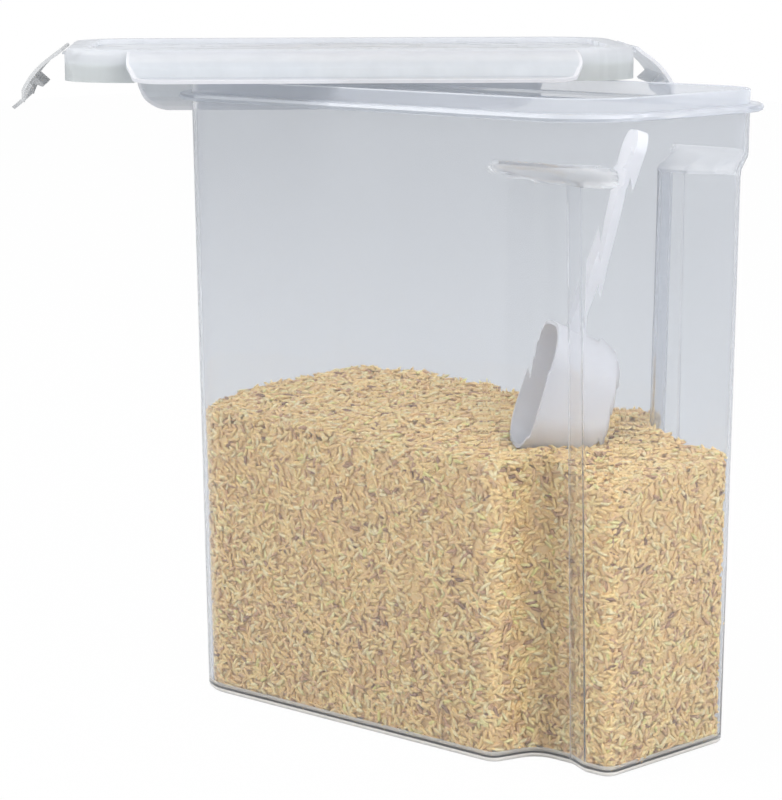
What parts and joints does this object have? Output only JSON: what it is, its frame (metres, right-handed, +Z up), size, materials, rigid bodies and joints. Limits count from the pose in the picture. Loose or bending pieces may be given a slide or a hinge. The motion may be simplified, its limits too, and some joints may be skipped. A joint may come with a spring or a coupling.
{
  "type": "rice storage bin",
  "caption": "Tall clear rice bin with a drawn-in grip end, a lift-off lid with hinged flap latches lying askew on the rim, and a scoop standing in the rice.",
  "frame": {"origin": "middle of the flat base, on the surface the bin stands on", "axes": "+Z up, +X towards the drawn-in grip end, -Y towards the near long wall in the picture"},
  "size_m": [0.3578, 0.2786, 0.3159],
  "materials": {
    "clear_pp": "clear with a faint haze",
    "lid_pp": "translucent, milky",
    "silicone": "soft, matt",
    "scoop_pp": "satin white",
    "rice": "loose brown long grains"
  },
  "bodies": {
    "container": {"container_body": "clear_pp", "rice_fill": "rice"},
    "lid": {"lid_shell": "lid_pp", "lid_gasket": "silicone"},
    "near_latch": {"latch_near": "lid_pp"},
    "far_latch": {"latch_far": "lid_pp"},
    "left_latch": {"latch_left": "lid_pp"},
    "right_latch": {"latch_right": "lid_pp"},
    "scoop": {"measuring_scoop": "scoop_pp"}
  },
  "joints": [
    {"name": "lid_lift", "type": "slide", "parent": "container", "child": "lid", "axis": [0, 0, 1], "range_m": [0, 0.15]},
    {"name": "near_latch_hinge", "type": "hinge", "parent": "lid", "child": "near_latch", "pos_m": [-0.03489, -0.03551, 0.3139], "axis": [-0.682, -0.7314, 0], "range_deg": [0, 82]},
    {"name": "far_latch_hinge", "type": "hinge", "parent": "lid", "child": "far_latch", "pos_m": [-0.13528, 0.05811, 0.3139], "axis": [0.682, 0.7314, 0], "range_deg": [0, 142]},
    {"name": "left_latch_hinge", "type": "hinge", "parent": "lid", "child": "left_latch", "pos_m": [-0.17878, -0.08918, 0.3139], "axis": [-0.7314, 0.682, 0], "range_deg": [-37, 113]},
    {"name": "right_latch_hinge", "type": "hinge", "parent": "lid", "child": "right_latch", "pos_m": [0.00861, 0.11178, 0.3139], "axis": [0.7314, -0.682, 0], "range_deg": [-37, 113]},
    {"name": "scoop_lift", "type": "slide", "parent": "container", "child": "scoop", "axis": [0.0902, -0.0842, 0.9924], "range_m": [0, 0.25]}
  ]
}
